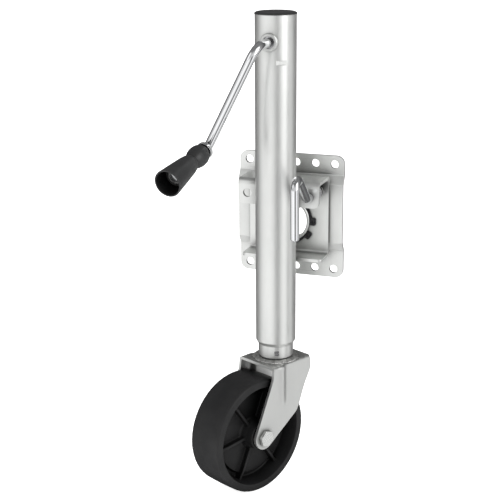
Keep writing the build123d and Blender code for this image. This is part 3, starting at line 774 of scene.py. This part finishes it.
# ---------------------------------------------------------------- weld beads
def bead(name, place, radius, arc, width, rise, columns, seed, lumps=0.16, pitch=3.0):
    """A fillet weld round a corner: an arc of metal with ripples, thinner where it starts and stops.

    The corner is at a radius about a placed Z axis; the bead spreads outwards and along Z.
    """
    start, end = (radians(a) for a in arc)
    full = arc[1] - arc[0] == 360
    section = 9
    root = radius - 0.35
    under = -0.15 if rise > 0 else 0.15
    points = []
    for j in range(columns):
        t = j / (columns if full else columns - 1)
        a = start + (end - start) * t
        shift = Vector((seed, 7.3 * cos(a), 7.3 * sin(a)))
        lump = 1 + lumps * (noise.noise(shift) + 0.6 * noise.noise(shift * 3.1))
        run = radius * a / pitch
        ripple = 1 + 0.07 * (abs(sin(pi * run)) - 0.5)
        fade = 1.0 if full else smoothstep(0, 0.04, t) * smoothstep(1, 0.96, t) + 0.02
        for k in range(section):
            u = pi / 2 * k / (section - 1)
            out = width * lump * ripple * fade * cos(u) ** 1.15
            along = rise * (1 + 0.5 * (lump - 1)) * fade * sin(u) ** 1.15
            points.append((a, radius + out, along))
        points.append((a, root, 0.9 * rise * fade))
        points.append((a, root, under))
        points.append((a, radius + 0.8 * width * fade, under))
    ring = section + 3
    real = [place @ (Vector((r * cos(a), r * sin(a), z)) * MM) for a, r, z in points]
    faces = grid_faces(columns, ring, full, True)
    if not full:
        faces.append(tuple(range(ring)))
        faces.append(tuple(range((columns - 1) * ring, columns * ring)))
    return mesh_from(name, real, faces, 70)


def join_meshes(name, meshes):
    """Several meshes as one."""
    work = bmesh.new()
    for mesh in meshes:
        work.from_mesh(mesh)
    whole = bpy.data.meshes.new(name)
    work.to_mesh(whole)
    work.free()
    return whole


def make_welds():
    """The beads round the hub, round the caster's stem, and above and below the bracket."""
    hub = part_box("pivot_hub")
    hub_x, hub_z = (hub[0].x + hub[1].x) / 2, (hub[0].z + hub[1].z) / 2
    hub_r = (hub[1].x - hub[0].x) / 2 / MM
    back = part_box("hub_weld")[0].y
    place = frame_of(Vector((hub_x, back, hub_z)), Vector((1, 0, 0)), Vector((0, 0, -1)), Vector((0, 1, 0)))
    mesh = bead("hub_weld_bead", place, hub_r, (-212, 32), 2.4, 2.6, 260, 3.1)
    add_piece("hub_weld_bead", mesh, "hub_weld")

    stem_r = 19.5
    place = about((tube_x, tube_y, fork_top), up)
    mesh = bead("stem_weld_bead", place, stem_r, (0, 360), 9.2, 3.1, 360, 8.6, 0.2, 3.6)
    add_piece("stem_weld_bead", mesh, "stem_weld")

    flange = 4.0 * MM
    leg = 3.4
    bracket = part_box("swivel_bracket")
    corners = ((bracket[1].z - flange, -leg, 50), (bracket[0].z + flange, leg, 30))
    beads = []
    for i, (z, rise, half) in enumerate(corners):
        place = Matrix.Translation(Vector((tube_x, tube_y, z)))
        beads.append(bead("bead", place, tube_r, (90 - half, 90 + half), leg, rise, 110, 5.2 + i))
    add_piece("bracket_weld_beads", join_meshes("bracket_weld_beads", beads), "bracket_welds")


# ---------------------------------------------------------------- wheel
wheel_r = 75.0
wheel_half_w = 25.0
wheel_hub_half = 26.0
wheel_bore_r = 11.0
web_half = 3.5
disc_half = 7.5
disc_r = 54.0
rim_r = (62.0, 64.2)           # where the ribs run out into the rim
rib_count = 6
rib_turn = 6.0
# a rib's section: (distance from its middle, share of its height), with rounded top edges and soft feet
rib_section = [
    (0.0, 1.0),
    (1.0, 1.0),
    (1.35, 0.985),
    (1.6, 0.94),
    (1.75, 0.86),
    (1.95, 0.45),
    (2.2, 0.1),
    (2.7, 0.03),
    (3.4, 0.0),
]


def wheel_side():
    """One side from the bore out to the middle of the tread, as (distance from the middle, radius)."""
    return rounded(
        [
            (0, wheel_bore_r, 0),
            (wheel_hub_half, wheel_bore_r, 0.5),
            (wheel_hub_half, 16.9, 1.2),
            (17, 18.0, 3),
            (disc_half, 20.4, 3.0),
            (disc_half, disc_r, 0.7),
            (web_half, 55.4, 1.0),
            (web_half, 60.6, 2.0),
            (wheel_half_w, 64.6, 0.8),
            (wheel_half_w, wheel_r - 0.6, 3.0),
            (12, wheel_r - 0.2, 30.0),
            (0, wheel_r, 0),
        ],
        4,
    )


def rib_height(r):
    """How far a rib's top stands from the wheel's middle: level, and lower where it meets the rim."""
    return 14.5 - 1.5 * smoothstep(48, 60, r)


def wheel_outline():
    """The whole section as (distance from the middle, radius, side), close enough for ribs that bend."""
    step = 3.0
    side = wheel_side()
    fine = []
    for a, b in zip(side, side[1:]):
        count = max(1, int((b - a).length / step))
        fine += [a.lerp(b, k / count) for k in range(count)]
    fine.append(side[-1])
    return [(x, r, 1) for x, r in fine] + [(x, r, -1) for x, r in reversed(fine[1:-1])]


def wheel_columns():
    """What each column of the mesh follows: (rib's ray, distance from it, share of height, share between)."""
    between = 9
    foot = rib_section[-1][0]
    columns = []
    for rib in range(rib_count):
        ray = 2 * pi * rib / rib_count + radians(rib_turn)
        columns += [(ray, -offset, height, 0) for offset, height in reversed(rib_section[1:])]
        columns += [(ray, offset, height, 0) for offset, height in rib_section]
        columns += [(ray, foot, 0.0, k / between) for k in range(1, between)]
    return columns


def make_wheel():
    """A one-piece moulded wheel: crowned tread, dished web with a raised disc, and six ribs on each side."""
    sector = 2 * pi / rib_count
    outline = wheel_outline()
    columns = wheel_columns()
    place = frame_of(axle_centre, axle, -rearward, -up)
    points = []
    for x, r, way in outline:
        lift = max(0.0, rib_height(r) - x) * smoothstep(rim_r[1], rim_r[0], r)
        if r <= wheel_bore_r + 2:
            lift = 0.0
        for ray, offset, height, share in columns:
            near = offset / r
            a = ray + near + (sector - 2 * near) * share
            points.append(place @ (Vector((way * (x + lift * height), r * cos(a), r * sin(a))) * MM))
    faces = grid_faces(len(outline), len(columns), True, True)
    add_piece("wheel_moulding", mesh_from("wheel_moulding", points, faces, 50), "wheel")


# ---------------------------------------------------------------- grip
grip_start = 12.6              # from the handle's bend to the grip's near end
grip_len = 86.0
grip_bore_r = 5.6
cup_floor = 66.0
boss_rise = 0.6                # the cup's floor stands up a little round the rod


def make_grip():
    """The turned plastic grip: a bulb, a waist, and a flared end that is hollow round the rod's tip."""
    bulb = smooth_curve(
        [(0.8, 9.2), (3, 10.6), (7, 12.3), (12, 13.0), (17, 12.7), (22, 11.4), (26, 9.7), (28.4, 8.9)], 6
    )
    lip_at = (84.6, 16.75)
    flare = smooth_curve(
        [(29.2, 8.9), (30.6, 9.9), (33, 11.0), (40, 12.3), (52, 13.6), (66, 15.0), (78, 16.1), lip_at], 6
    )
    wall = (cup_floor + 2, 12.6, 0)
    boss = (cup_floor, 9.6, 0)
    boss_top = cup_floor + boss_rise
    lip = rounded([(*lip_at, 0), (grip_len, 16.7, 1.0), (grip_len, 14.9, 0.7), wall], 4)
    cup = rounded([wall, (cup_floor, 12.3, 1.2), boss], 3)
    end = rounded([boss, (boss_top, 9.4, 0.2), (boss_top, grip_bore_r, 0)], 2)
    near_end = [Vector((0, grip_bore_r)), Vector((0, 8.4))]
    outline = [(grip_start + x, r) for x, r in near_end + bulb + flare + lip[1:] + cup[1:] + end[1:]]
    place = about(joints["grip_spin"]["pos_m"], joints["grip_spin"]["axis"])
    add_piece("grip_moulding", lathe("grip_moulding", outline, place), "handle_grip")


make_fork()
make_welds()
make_wheel()
make_grip()
